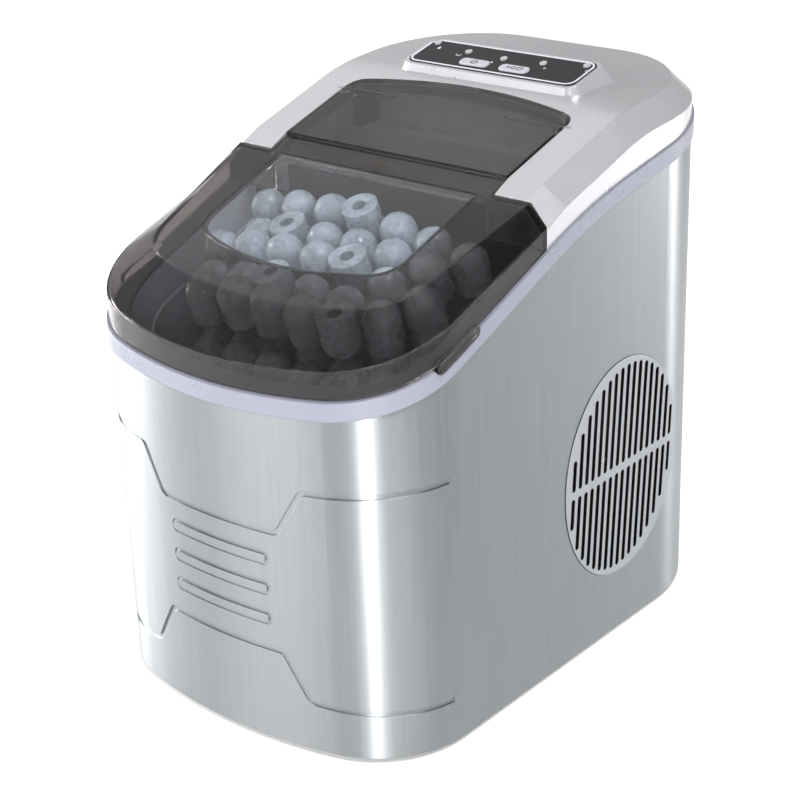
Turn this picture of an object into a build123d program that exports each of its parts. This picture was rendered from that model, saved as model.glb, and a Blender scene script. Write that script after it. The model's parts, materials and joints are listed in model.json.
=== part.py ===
from build123d import *
import os
from math import atan, cos, degrees, radians, sin, sqrt

# Countertop ice maker, in millimetres. +Z is up, the front faces -Y, and +X is on the right as seen
# from the front. The origin is on the surface it stands on, under the middle of the casing.

os.makedirs("parts", exist_ok=True)

# ---- driving dimensions -------------------------------------------------------------------------
width = 242.0  # over the rim trim
depth = 357.0  # over the rim trim
height = 339.0  # to the rear edge of the control pod

# casing plan outline
trim_proud = 1.5  # the rim trim stands this far out of the casing
front_bow = 25.9  # rise of the bowed front over the casing's width
front_corner = 61.0
rear_corner = 83.3

# walls and gaps
sheet = 2.0  # front and rear covers, liner
skin = 2.5  # moulded covers and lid
thin = 3.0  # floors, flanges and boards' brackets
gap = 0.3  # between pieces that only lie beside each other
running = 0.05  # radial, around shafts and pins
lid_gap = 1.0  # around the lid's rear tongue
seal_gap = 0.6  # between the lid and the rim trim

# side profiles, each a line that bends at rounded knees
trim_height = 10.5
trim_nose_length = 42.0  # the flatter first stretch behind the front
trim_front_slope = 0.295
trim_slope = 0.40
trim_rear_slope = 0.175
trim_knee_y = 10.0
trim_knee_drop = 63.5  # from the overall height to the knee of the trim's lower edge
profile_bend = 400.0
hood_slope = 0.35
hood_split_y = -28.0  # the lid's hood ends here and the top cover begins
brow_drop = 55.1  # from the overall height to the hood's brow at the split
crown_rise = 12.3  # the crown plane over the brow plane
crease_y = -15.0  # the lid's hood meets its rear tongue
crease_step = 2.4
ridge_drop = 36.5  # from the overall height to the top cover's ridge
ridge_slope = 0.30
facet_slope = 0.467
top_knee_y = 62.0
top_rear_slope = 0.07
top_bend = 150.0
top_chamfer = 12.7

# lid
crown_side_inset = 10.7
crown_taper = 0.143  # the crown narrows toward the front
crown_front_inset = 32.0
crown_corner = 32.0
tongue_half_width = 82.9
tongue_rear_y = 61.0
tongue_bow = 12.0
tongue_corner = 12.0
tongue_skirt = 10.0
window_rear_half = 74.5
window_front_half = 73.5
window_rear_y = -30.5
window_front_y = -118.5
window_bow = 14.0
window_corner = 20.0
window_ledge = 2.5
window_thickness = 1.5
tab_length = 38.0
tab_height = 8.0
tab_setback = 69.0  # from the casing's front to the middle of the lid's lifting tab
tab_proud = 1.2
hinge_y = 40.0
hinge_drop = 22.0  # from the overall height to the hinge axis
hinge_pin_radius = 2.0
hinge_ear = 5.5

# control pod
pod_slope = 0.236
pod_front_y = 73.0
pod_rear_y = 108.0
pod_half_width = 65.0
pod_flare = 5.5
pod_corner = 7.0
label_margin = 2.5
label_thickness = 0.6
button_pitch = 30.0
button_width = 21.0
button_depth = 7.6
button_proud = 1.0
button_travel = 0.8
button_local_y = -7.0
light_count = 5
light_pitch = 28.3
light_radius = 2.3
light_smile = 7.0
light_local_y = 3.3

# casing
seam_y = -26.8
cover_bottom = 3.2
pan_rim = 17.0
foot_height = 3.0
foot_radius = 9.0
foot_inset_x = 34.0
foot_inset_front = 56.0
foot_inset_rear = 62.0
groove_width = 3.2
groove_depth = 1.0
groove_low_z = 61.7
groove_high_z = 135.3
groove_inner = 43.5
groove_outer = 60.0
groove_rise = 28.0
rib_half = 35.5
rib_height = 5.0
rib_proud = 0.6
rib_pitch = 18.7
rib_middle_z = 99.5

# side grilles
grille_y = 49.3
grille_z = 112.0
grille_half_y = 59.8
grille_half_z = 70.0
grille_border = 5.0
grille_proud = 0.4
grille_thickness = 1.6
slot_count = 17
slot_pitch = 6.45
slot_width = 3.5
slot_lean = 4.5  # degrees, tops to the rear
slot_bar = 4.6

# liner, basket and ice
liner_inset = 11.0
tank_floor_z = 58.0
shelf_z = 188.0
tank_to_shroud = 3.3
liner_rear_y = 58.0
basket_inset = 24.0
basket_to_shelf = 10.0
basket_floor_z = 162.0
ice_radius = 11.0
ice_length = 28.0

# ice making
tray_y = 22.0
tray_z = 246.0
tray_radius = 20.0
tray_wall = 1.6
tray_left = -76.0
tray_right = 92.0
tray_shaft_radius = 3.0
finger_count = 9
finger_pitch = 18.0
finger_radius = 4.2
finger_drop = 30.0
evaporator_radius = 6.0
evaporator_lift = 21.0
pusher_y = 8.0

# cold circuit and air
fan_radius = 50.0
shroud_rim = 8.0
fan_x = 98.0
compressor_x = -48.0
compressor_to_hose = 3.5
compressor_radius = 45.0
compressor_height = 118.0
condenser_x = 52.0
condenser_thickness = 22.0
fin_count = 16
tube_radius = 3.0
tube_bend = 14.0

# values that follow from the driving dimensions
half = width / 2 - trim_proud
front_y = trim_proud - depth / 2
rear_y = depth / 2 - trim_proud
arc_radius = (half**2 + front_bow**2) / (2 * front_bow)
arc_centre_y = front_y + arc_radius
overrun = 20.0  # cutters reach this far past what they cut
tall = height + overrun
floor_z = foot_height + thin
hinge_z = height - hinge_drop
trim_knee_z = height - trim_knee_drop
trim_nose_y = front_y + trim_nose_length
trim_nose_z = trim_knee_z - trim_slope * (trim_knee_y - trim_nose_y)
trim_line = [
    (front_y - overrun, trim_nose_z - trim_front_slope * (trim_nose_length + overrun)),
    (trim_nose_y, trim_nose_z),
    (trim_knee_y, trim_knee_z),
    (rear_y + overrun, trim_knee_z + trim_rear_slope * (rear_y + overrun - trim_knee_y)),
]
ridge_z = height - ridge_drop
top_knee_z = ridge_z + ridge_slope * (top_knee_y - crease_y)
top_end = (rear_y + overrun, top_knee_z + top_rear_slope * (rear_y + overrun - top_knee_y))
top_start_y = hood_split_y - 4 * overrun
top_line = [
    (top_start_y, ridge_z - facet_slope * (crease_y - top_start_y)),
    (crease_y, ridge_z),
    (top_knee_y, top_knee_z),
    top_end,
]


def plane_z(drop, y):
    """Height of a hood plane that lies the given distance below the overall height at the split."""
    return height - drop + hood_slope * (y - hood_split_y)


shroud_half = fan_radius + shroud_rim
shelf_y = grille_y - shroud_half - tank_to_shroud
basket_rear_y = shelf_y - basket_to_shelf
crown_drop = brow_drop - crown_rise
pod_middle_y = (pod_front_y + pod_rear_y) / 2
pod_rear_z = height
pod_middle_z = pod_rear_z - pod_slope * (pod_rear_y - pod_middle_y)
pod_plane = Plane(
    origin=(0, pod_middle_y, pod_middle_z), x_dir=(1, 0, 0), z_dir=(0, -pod_slope, 1)
)


# ---- shared shapes ------------------------------------------------------------------------------
def outline(grow, level=0.0):
    """Casing plan outline at a level, grown evenly outward."""
    side = half + grow
    radius = arc_radius + grow
    side_y = arc_centre_y - sqrt(radius**2 - side**2)
    back = rear_y + grow
    with BuildSketch(Plane.XY.offset(level)) as plan:
        with BuildLine():
            ThreePointArc((-side, side_y), (0, front_y - grow), (side, side_y))
            Polyline((side, side_y), (side, back), (-side, back), (-side, side_y))
        make_face()
        fillet(plan.vertices().group_by(Axis.Y)[0], front_corner + grow)
        fillet(plan.vertices().group_by(Axis.Y)[-1], rear_corner + grow)
    return plan.sketch


def under(line, lift=0.0, bend=profile_bend, sharp=0):
    """Side-view region under a profile line, all of whose corners but the first few are rounded."""
    points = [(y, z + lift) for y, z in line]
    with BuildSketch(Plane.YZ) as region:
        with BuildLine():
            if sharp:
                Polyline(*points[: sharp + 1])
            FilletPolyline(*points[sharp:], radius=bend)
            Polyline(points[-1], (points[-1][0], -tall), (points[0][0], -tall), points[0])
        make_face()
    return region.sketch


def slab_under(line, lift=0.0, bend=profile_bend, sharp=0):
    """Everything under a profile line, through the whole width."""
    with BuildPart() as slab:
        extrude(under(line, lift, bend, sharp), amount=width, both=True)
    return slab.part


def ring(outer, inner, low, high):
    """Upright wall that follows the casing outline between two growths."""
    with BuildPart() as wall:
        extrude(outline(outer, low), amount=high - low)
        extrude(outline(inner, low), amount=high - low, mode=Mode.SUBTRACT)
    return wall.part


def box(x0, x1, y0, y1, z0, z1):
    """Plain box between two corners."""
    with BuildPart() as block:
        with BuildSketch(Plane.XY.offset(z0)):
            with Locations(((x0 + x1) / 2, (y0 + y1) / 2)):
                Rectangle(x1 - x0, y1 - y0)
        extrude(amount=z1 - z0)
    return block.part


def rod(start, direction, radius, length):
    """Round bar from a start point along a direction."""
    with BuildPart() as bar:
        with BuildSketch(Plane(origin=start, z_dir=direction)):
            Circle(radius)
        extrude(amount=length)
    return bar.part


def tube(points, radius=tube_radius, bend=tube_bend):
    """Round tube along straight runs joined by tangent arcs."""
    with BuildLine() as path:
        FilletPolyline(*points, radius=bend)
    with BuildPart() as pipe:
        with BuildSketch(Plane(origin=path.line @ 0, z_dir=path.line % 0)):
            Circle(radius)
        sweep(path=path.line)
    return pipe.part


def trim_z(y):
    """Height of the trim's lower edge, without its rounded knees."""
    for (y0, z0), (y1, z1) in zip(trim_line[:-1], trim_line[1:]):
        if y <= y1:
            return z0 + (z1 - z0) * (y - y0) / (y1 - y0)
    return trim_line[-1][1]


def top_z(y):
    """Height of the top cover behind its ridge, without its rounded knee."""
    if y <= top_knee_y:
        return ridge_z + ridge_slope * (y - crease_y)
    return top_knee_z + top_rear_slope * (y - top_knee_y)


# ---- base ---------------------------------------------------------------------------------------
feet_places = [
    (sign * (half - foot_inset_x), y)
    for sign in (-1, 1)
    for y in (front_y + foot_inset_front, rear_y - foot_inset_rear)
]
foot_stem_radius = 3.0

# screws through the rear cover into the pan's rim
screw_radius = 2.0
screw_head_radius = 3.6
screw_head = 1.2
screw_length = 7.0
screw_z = 12.0
screw_pitch = 26.0

with BuildPart() as base_pan:
    extrude(outline(-sheet, foot_height), amount=thin)
    add(ring(-sheet, -2 * sheet, foot_height, pan_rim))
    with BuildSketch(Plane.XY.offset(foot_height)):
        with Locations(*feet_places):
            Circle(foot_stem_radius)
    extrude(amount=thin, mode=Mode.SUBTRACT)
    with BuildSketch(Plane.XY.offset(foot_height)):
        with Locations((0, front_y + depth / 3)):
            with GridLocations(14.0, 26.0, 7, 2):
                SlotOverall(20.0, 4.0, rotation=90)
    extrude(amount=thin, mode=Mode.SUBTRACT)
    for x in (-screw_pitch, screw_pitch):
        add(rod((x, 0, screw_z), (0, 1, 0), screw_radius, depth), mode=Mode.SUBTRACT)
base_pan.part.label = "base_pan"
export_step(base_pan.part, "parts/base_pan.step")

with BuildPart() as rubber_feet:
    with BuildSketch(Plane.XY):
        with Locations(*feet_places):
            Circle(foot_radius)
    extrude(amount=foot_height)
    chamfer(rubber_feet.edges().group_by(Axis.Z)[0], 0.8)
    with BuildSketch(Plane.XY.offset(foot_height)):
        with Locations(*feet_places):
            Circle(foot_stem_radius)
    extrude(amount=thin + 1.5)
rubber_feet.part.label = "rubber_feet"
export_step(rubber_feet.part, "parts/rubber_feet.step")

# ---- casing -------------------------------------------------------------------------------------
drain_y = front_y + 84.0
drain_z = 34.0
drain_cap_radius = 11.0
drain_pipe_radius = 7.0
inlet_x = 0.0
inlet_z = 52.0
inlet_width = 27.5
inlet_height = 20.0


def groove_line(sign, flat_z):
    """Front-view line of a groove: flat in the middle, bent up or down to each side."""
    outer_z = flat_z + sign * groove_rise
    reach = half + overrun
    end_z = outer_z + sign * 4.0
    return [
        (-reach, end_z),
        (-groove_outer, outer_z),
        (-groove_inner, flat_z),
        (groove_inner, flat_z),
        (groove_outer, outer_z),
        (reach, end_z),
    ]


def groove_cutter(sign, flat_z):
    """Shallow groove that follows the bowed front and ends just round its corners."""
    with BuildPart() as cutter:
        with BuildSketch(Plane.XZ.offset(-seam_y)):
            with BuildLine():
                FilletPolyline(*groove_line(sign, flat_z), radius=6.0)
            trace(line_width=groove_width)
        extrude(amount=depth)
        add(ring(overrun, -groove_depth, 0, height), mode=Mode.INTERSECT)
        add(box(-width, width, front_y - overrun, front_y + front_corner, 0, height), mode=Mode.INTERSECT)
    return cutter.part


def rib_form(grow, outer, inner):
    """Three capsules on the front, between two growths of the casing outline."""
    with BuildPart() as capsules:
        with BuildSketch(Plane.XZ.offset(-seam_y)):
            for step in (-1, 0, 1):
                with Locations((0, rib_middle_z + step * rib_pitch)):
                    SlotOverall(2 * (rib_half + grow), rib_height + 2 * grow)
        extrude(amount=depth)
        add(ring(outer, inner, 0, height), mode=Mode.INTERSECT)
    return capsules.part


def cover_wall():
    """Side wall of the casing, from the base up to the rim trim."""
    with BuildPart() as wall:
        add(ring(0, -sheet, cover_bottom, height))
        add(slab_under(trim_line), mode=Mode.INTERSECT)
    return wall.part


casing_wall = cover_wall()

with BuildPart() as front_cover:
    add(casing_wall)
    split(bisect_by=Plane.XZ.offset(-(seam_y - gap / 2)), keep=Keep.TOP)
    add(groove_cutter(1, groove_high_z), mode=Mode.SUBTRACT)
    add(groove_cutter(-1, groove_low_z), mode=Mode.SUBTRACT)
    add(rib_form(1.8, overrun, -rib_proud), mode=Mode.SUBTRACT)
    add(rib_form(0, rib_proud, -sheet))
    add(
        rod((-width, drain_y, drain_z), (1, 0, 0), drain_cap_radius + gap, width - half + 2 * sheet),
        mode=Mode.SUBTRACT,
    )
front_cover.part.label = "front_cover"
export_step(front_cover.part, "parts/front_cover.step")


def grille_ellipse(shrink):
    """Side-view ellipse of a grille."""
    with BuildSketch(Plane.YZ) as field:
        with Locations((grille_y, grille_z)):
            Ellipse(grille_half_y - shrink, grille_half_z - shrink)
    return field.sketch


def grille_slots():
    """Two banks of leaning slots, above and below a level bar, cut to an ellipse."""
    reach_y = grille_half_y - grille_border
    reach_z = grille_half_z - grille_border
    with BuildSketch(Plane.YZ) as slots:
        for index in range(slot_count):
            offset = (index - (slot_count - 1) / 2) * slot_pitch
            top = reach_z * sqrt(1 - (offset / reach_y) ** 2)
            length = top - slot_bar / 2
            for bank in (-1, 1):
                lift = bank * (top + slot_bar / 2) / 2
                shift = lift * sin(radians(slot_lean))
                with Locations((grille_y + offset + shift, grille_z + lift)):
                    SlotOverall(length, slot_width, rotation=90 - slot_lean)
    return slots.sketch


def side_grille(side):
    """Elliptical slotted plate that fills the opening in one side of the rear cover."""
    with BuildPart() as plate:
        add(ring(grille_proud, grille_proud - grille_thickness, grille_z - tall / 3, grille_z + tall / 3))
        extrude(grille_ellipse(gap / 2), amount=side * width, mode=Mode.INTERSECT)
        extrude(grille_slots(), amount=side * width, mode=Mode.SUBTRACT)
    return plate.part


with BuildPart() as rear_cover:
    add(casing_wall)
    split(bisect_by=Plane.XZ.offset(-(seam_y + gap / 2)), keep=Keep.BOTTOM)
    extrude(grille_ellipse(0), amount=width, both=True, mode=Mode.SUBTRACT)
    with BuildSketch(Plane.XZ.offset(-rear_y - overrun)):
        with Locations((inlet_x, inlet_z)):
            RectangleRounded(inlet_width, inlet_height, 3.0)
        with Locations((0, screw_z)):
            with GridLocations(2 * screw_pitch, 1, 2, 1):
                Circle(screw_radius)
    extrude(amount=2 * overrun, mode=Mode.SUBTRACT)
rear_cover.part.label = "rear_cover"
export_step(rear_cover.part, "parts/rear_cover.step")

with BuildPart() as right_grille:
    add(side_grille(1))
right_grille.part.label = "right_grille"
export_step(right_grille.part, "parts/right_grille.step")

with BuildPart() as left_grille:
    add(side_grille(-1))
left_grille.part.label = "left_grille"
export_step(left_grille.part, "parts/left_grille.step")

trim_inset = liner_inset + sheet  # the trim's flange reaches in to the liner's inner face
flange_lift = trim_height - thin


def inside(inset, lift):
    """Everything inside the casing outline, up to a lift over the trim's lower edge."""
    with BuildPart() as core:
        extrude(outline(-inset), amount=tall)
        add(slab_under(trim_line, lift), mode=Mode.INTERSECT)
    return core.part


def lifting_tabs(grow, inner, outer):
    """Rounded tabs on the line between lid and trim, on both sides."""
    tab_y = front_y + tab_setback
    tab_z = trim_z(tab_y) + trim_height
    with BuildPart() as tabs:
        for side in (-1, 1):
            with BuildSketch(Plane.YZ.offset(side * inner)):
                with Locations((tab_y, tab_z)):
                    lean = degrees(atan(trim_slope))
                    SlotOverall(tab_length + 2 * grow, tab_height + 2 * grow, rotation=lean)
            extrude(amount=side * (outer - inner))
    return tabs.part


with BuildPart() as rim_trim:
    add(inside(-trim_proud, trim_height))
    add(slab_under(trim_line), mode=Mode.SUBTRACT)
    add(inside(sheet, flange_lift), mode=Mode.SUBTRACT)
    extrude(outline(-trim_inset), amount=tall, mode=Mode.SUBTRACT)
    add(lifting_tabs(0, half - skin - seal_gap, width), mode=Mode.SUBTRACT)
rim_trim.part.label = "rim_trim"
export_step(rim_trim.part, "parts/rim_trim.step")


# ---- top cover and control pod ------------------------------------------------------------------
def top_form(inset):
    """Closed form of the top cover with its chamfered upper edge, inset from its outer surface."""
    with BuildPart() as form:
        extrude(outline(-inset), amount=tall)
        add(slab_under(top_line, -inset, top_bend, 1), mode=Mode.INTERSECT)
        split(bisect_by=Plane.XZ.offset(overrun - hood_split_y), keep=Keep.BOTTOM)
        upper = form.faces().filter_by(lambda face: face.normal_at().Z > 0.5)
        rim = [
            edge
            for edge in upper.edges()
            if abs((edge % 0.5).X) < 0.99 or edge.center().Y > top_knee_y + front_corner
        ]
        chamfer(rim, top_chamfer)
        split(bisect_by=Plane.XZ.offset(-hood_split_y - inset), keep=Keep.BOTTOM)
    return form.part


def pod_plan(grow, lift):
    """Rounded outline of the control pod, parallel to its label, at a lift over the pod's face."""
    length = (pod_rear_y - pod_front_y) * sqrt(1 + pod_slope**2)
    with BuildSketch(pod_plane.offset(lift)) as plan:
        RectangleRounded(2 * (pod_half_width + grow), length + 2 * grow, pod_corner + grow)
    return plan.sketch


def pod_form(inset):
    """Raised pod with flared sides, inset from its outer surface."""
    reach = 16.0
    flare = pod_flare * reach / 8.0
    with BuildPart() as form:
        loft([pod_plan(flare - inset, -reach).face(), pod_plan(-inset, -inset).face()])
    return form.part


def tongue_plan(grow, level=0.0):
    """Plan outline of the lid's rear tongue, open to the front."""
    side = tongue_half_width + grow
    back = tongue_rear_y + grow
    with BuildSketch(Plane.XY.offset(level)) as plan:
        with BuildLine():
            ThreePointArc((-side, back - tongue_bow), (0, back), (side, back - tongue_bow))
            Polyline(
                (side, back - tongue_bow),
                (side, hood_split_y - overrun),
                (-side, hood_split_y - overrun),
                (-side, back - tongue_bow),
            )
        make_face()
        fillet(plan.vertices().group_by(Axis.Y)[1], tongue_corner + grow)
    return plan.sketch


def pod_holes():
    """Openings for the two buttons and the row of lights, on the pod's face."""
    with BuildSketch(pod_plane) as holes:
        with Locations((0, button_local_y)):
            with GridLocations(button_pitch, 1, 2, 1):
                RectangleRounded(button_width + 2 * gap, button_depth + 2 * gap, 3.0 + gap)
        with Locations(*light_places):
            Circle(light_radius)
    return holes.sketch


light_places = [
    (
        (index - (light_count - 1) / 2) * light_pitch,
        light_local_y + light_smile * (2 * index / (light_count - 1) - 1) ** 2,
    )
    for index in range(light_count)
]
hinge_inner = tongue_half_width - hinge_ear - 1.0
hinge_outer = tongue_half_width + lid_gap + skin + 1.0


def cheek(side):
    """Upright wall beside the tongue's opening, which carries a hinge pin."""
    inner = side * (tongue_half_width + lid_gap)
    outer = inner + side * skin
    with BuildPart() as wall:
        add(box(min(inner, outer), max(inner, outer), hood_split_y, hinge_y + 8.0, 0, tall))
        add(top_form(skin / 2), mode=Mode.INTERSECT)
    return wall.part


def hinge_bore(radius, inner, outer):
    """Pair of bars on the hinge axis, one on each side, between two distances from the middle."""
    with BuildPart() as bars:
        for side in (-1, 1):
            add(rod((side * inner, hinge_y, hinge_z), (side, 0, 0), radius, outer - inner))
    return bars.part


def front_wall():
    """Upright wall that closes the front end of both shoulders."""
    with BuildPart() as wall:
        add(box(-width, width, hood_split_y, hood_split_y + skin, 0, tall))
        add(top_form(0), mode=Mode.INTERSECT)
    return wall.part


with BuildPart() as top_cover:
    add(top_form(0))
    add(pod_form(0))
    add(top_form(skin), mode=Mode.SUBTRACT)
    add(pod_form(skin), mode=Mode.SUBTRACT)
    add(front_wall())
    extrude(tongue_plan(lid_gap), amount=tall, mode=Mode.SUBTRACT)
    for side in (-1, 1):
        add(cheek(side))
    add(slab_under(trim_line, trim_height), mode=Mode.SUBTRACT)
    add(hinge_bore(hinge_pin_radius, hinge_inner, hinge_outer), mode=Mode.SUBTRACT)
    extrude(pod_holes(), amount=overrun, both=True, mode=Mode.SUBTRACT)
top_cover.part.label = "top_cover"
export_step(top_cover.part, "parts/top_cover.step")

with BuildPart() as hinge_pins:
    add(hinge_bore(hinge_pin_radius, hinge_inner, hinge_outer))
hinge_pins.part.label = "hinge_pins"
export_step(hinge_pins.part, "parts/hinge_pins.step")

# control pod: label, lights, buttons and the board below them
with BuildPart() as control_label:
    length = (pod_rear_y - pod_front_y) * sqrt(1 + pod_slope**2)
    with BuildSketch(pod_plane):
        RectangleRounded(2 * (pod_half_width - label_margin), length - 2 * label_margin, pod_corner - 2)
    extrude(amount=label_thickness)
    extrude(pod_holes(), amount=label_thickness, mode=Mode.SUBTRACT)
control_label.part.label = "control_label"
export_step(control_label.part, "parts/control_label.step")

board_drop = 10.5  # the display board's upper face below the pod's face
board_thickness = 1.6
light_proud = 0.9
switch_height = 3.0
flange_thickness = 1.0
flange_margin = 1.6

with BuildPart() as status_lights:
    with BuildSketch(pod_plane.offset(-skin)):
        with Locations(*light_places):
            Circle(light_radius)
    extrude(amount=skin + label_thickness + light_proud)
status_lights.part.label = "status_lights"
export_step(status_lights.part, "parts/status_lights.step")


def push_button(x):
    """Rounded key with a retaining flange and a stem that reaches the switch below."""
    flange_top = -skin - 0.1
    stem_end = -board_drop + switch_height + button_travel + 0.1
    top = label_thickness + button_proud
    with BuildPart() as key:
        with BuildSketch(pod_plane.offset(flange_top)):
            with Locations((x, button_local_y)):
                RectangleRounded(button_width, button_depth, 3.0)
        extrude(amount=top - flange_top)
        with BuildSketch(pod_plane.offset(flange_top)):
            with Locations((x, button_local_y)):
                RectangleRounded(button_width + 2 * flange_margin, button_depth + 2 * flange_margin, 3.0)
        extrude(amount=-flange_thickness)
        with BuildSketch(pod_plane.offset(flange_top - flange_thickness)):
            with Locations((x, button_local_y)):
                Circle(2.0)
        extrude(amount=-(flange_top - flange_thickness - stem_end))
        fillet(key.faces().sort_by(Axis.Z)[-1].edges(), 0.5)
    return key.part


with BuildPart() as on_off_button:
    add(push_button(-button_pitch / 2))
on_off_button.part.label = "on_off_button"
export_step(on_off_button.part, "parts/on_off_button.step")

with BuildPart() as select_button:
    add(push_button(button_pitch / 2))
select_button.part.label = "select_button"
export_step(select_button.part, "parts/select_button.step")

board_half = (pod_half_width - 7.0, 12.0)
post_radius = 2.5

with BuildPart() as display_board:
    with BuildSketch(pod_plane.offset(-board_drop)):
        Rectangle(2 * board_half[0], 2 * board_half[1])
    extrude(amount=-board_thickness)
    with BuildSketch(pod_plane.offset(-board_drop)):
        with Locations((0, button_local_y)):
            with GridLocations(button_pitch, 1, 2, 1):
                Rectangle(6.0, 6.0)
    extrude(amount=switch_height)
    with BuildSketch(pod_plane.offset(-board_drop)):
        with Locations(*light_places):
            Circle(1.5)
    extrude(amount=board_drop - skin)
display_board.part.label = "display_board"
export_step(display_board.part, "parts/display_board.step")

with BuildPart() as board_posts:
    with BuildSketch(pod_plane.offset(-board_drop)):
        with GridLocations(2 * board_half[0] - 26.0, 2 * board_half[1] - 7.0, 2, 2):
            Circle(post_radius)
    extrude(amount=board_drop - skin)
board_posts.part.label = "board_posts"
export_step(board_posts.part, "parts/board_posts.step")


# ---- lid ----------------------------------------------------------------------------------------
def hood_plane(drop, inset):
    """Sloping plane of the hood, lowered so that it lies evenly inside by the inset."""
    rise = inset * sqrt(1 + hood_slope**2)
    return Plane(
        origin=(0, hood_split_y, plane_z(drop, hood_split_y) - rise),
        x_dir=(1, 0, 0),
        z_dir=(0, -hood_slope, 1),
    )


def sloping_face(plan, plane):
    """The part of a sloping plane that stands over a plan sketch."""
    with BuildPart() as prism:
        extrude(plan, amount=2 * tall)
        split(bisect_by=plane, keep=Keep.BOTTOM)
    return prism.faces().sort_by(Axis.Z)[-1]


def crown_plan(inset):
    """Plan outline of the hood's flat crown."""
    rear = hood_split_y - lid_gap / 2 - inset
    rear_half = half - crown_side_inset - inset
    radius = arc_radius - crown_front_inset - inset
    front_half = rear_half - crown_taper * (rear - front_y - crown_front_inset - crown_corner / 2)
    corner_y = arc_centre_y - sqrt(radius**2 - front_half**2)
    with BuildSketch() as plan:
        with BuildLine():
            ThreePointArc(
                (-front_half, corner_y), (0, arc_centre_y - radius), (front_half, corner_y)
            )
            Polyline(
                (front_half, corner_y), (rear_half, rear), (-rear_half, rear), (-front_half, corner_y)
            )
        make_face()
        fillet(plan.vertices().group_by(Axis.Y)[0], crown_corner)
    return plan.sketch


def hood(inset):
    """Closed form of the hood: upright brow, sloping cheeks and flat crown."""
    rear = hood_split_y - lid_gap / 2 - inset
    crown = sloping_face(crown_plan(inset), hood_plane(crown_drop, inset))
    with BuildPart() as form:
        extrude(outline(-inset), amount=2 * tall)
        split(bisect_by=Plane.XZ.offset(-rear), keep=Keep.TOP)
        split(bisect_by=hood_plane(brow_drop, inset), keep=Keep.BOTTOM)
        brow = form.faces().sort_by(Axis.Z)[-1]
        loft([brow, crown], ruled=True)
    return form.part


tongue_start_y = hood_split_y - lid_gap / 2 - skin
crease_low_z = plane_z(crown_drop, crease_y)
crease_high_z = crease_low_z + crease_step


def tongue_line(inset):
    """Side profile of the tongue: the crown's slope, a step up at the crease, then the top's slope."""
    start_y = tongue_start_y - 2 * overrun
    step_y = crease_y + inset
    return [
        (start_y, plane_z(crown_drop, start_y)),
        (step_y, crease_low_z),
        (step_y + 0.2, crease_high_z),
        (top_knee_y, crease_high_z + ridge_slope * (top_knee_y - crease_y)),
        (rear_y, crease_high_z + ridge_slope * (top_knee_y - crease_y)),
    ]


def tongue(inset, deep):
    """Closed form of the lid's rear tongue, as deep as its skirt."""
    with BuildPart() as form:
        extrude(tongue_plan(-inset), amount=tall)
        add(slab_under(tongue_line(inset), -inset, 8.0, 2), mode=Mode.INTERSECT)
        add(slab_under(tongue_line(0), -deep, 8.0, 2), mode=Mode.SUBTRACT)
        split(bisect_by=Plane.XZ.offset(-tongue_start_y), keep=Keep.BOTTOM)
    return form.part


def window_plan(grow):
    """Plan outline of the window in the crown."""
    rear_half = window_rear_half + grow
    front_half = window_front_half + grow
    front = window_front_y - grow
    with BuildSketch() as plan:
        with BuildLine():
            ThreePointArc(
                (-front_half, front + window_bow), (0, front), (front_half, front + window_bow)
            )
            Polyline(
                (front_half, front + window_bow),
                (rear_half, window_rear_y + grow),
                (-rear_half, window_rear_y + grow),
                (-front_half, front + window_bow),
            )
        make_face()
        fillet(plan.vertices().group_by(Axis.Y)[0], window_corner + grow)
        fillet(plan.vertices().group_by(Axis.Y)[-1], 2.0)
    return plan.sketch


passage_half = tongue_half_width - skin
tail_drop = 16.0


def ears():
    """Bosses inside the tongue's skirt that turn on the hinge pins."""
    with BuildPart() as bosses:
        add(hinge_bore(hinge_ear, tongue_half_width - hinge_ear, tongue_half_width))
        add(tongue(0, tall), mode=Mode.INTERSECT)
    return bosses.part


def tail_passage():
    """Opening in the hood's rear wall under the tongue."""
    near_y = tongue_start_y - overrun
    far_y = tongue_start_y + overrun
    return box(-passage_half, passage_half, near_y, far_y, 0, crease_low_z - tail_drop)


def window_seat():
    """Opening for the window, with a ledge all round under its edge."""
    ledge_plane = hood_plane(crown_drop, window_thickness)
    with BuildPart() as seat:
        extrude(window_plan(0), amount=tall)
        split(bisect_by=ledge_plane, keep=Keep.TOP)
    with BuildPart() as throat:
        extrude(window_plan(-window_ledge), amount=tall)
    return [seat.part, throat.part]


with BuildPart() as lid_shell:
    add(hood(0))
    add(hood(skin), mode=Mode.SUBTRACT)
    add(tail_passage(), mode=Mode.SUBTRACT)
    add(tongue(0, tongue_skirt))
    add(tongue(skin, tongue_skirt + overrun), mode=Mode.SUBTRACT)
    add(ears())
    add(hinge_bore(hinge_pin_radius + running, 0.5 * tongue_half_width, hinge_outer), mode=Mode.SUBTRACT)
    add(window_seat(), mode=Mode.SUBTRACT)
    add(inside(-trim_proud, trim_height + seal_gap), mode=Mode.SUBTRACT)
    add(lifting_tabs(-seal_gap, half - skin, half + tab_proud))
lid_shell.part.label = "lid_shell"
export_step(lid_shell.part, "parts/lid_shell.step")

with BuildPart() as lid_window:
    extrude(window_plan(-0.1), amount=tall)
    split(bisect_by=hood_plane(crown_drop, 0), keep=Keep.BOTTOM)
    split(bisect_by=hood_plane(crown_drop, window_thickness), keep=Keep.TOP)
lid_window.part.label = "lid_window"
export_step(lid_window.part, "parts/lid_window.step")


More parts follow.
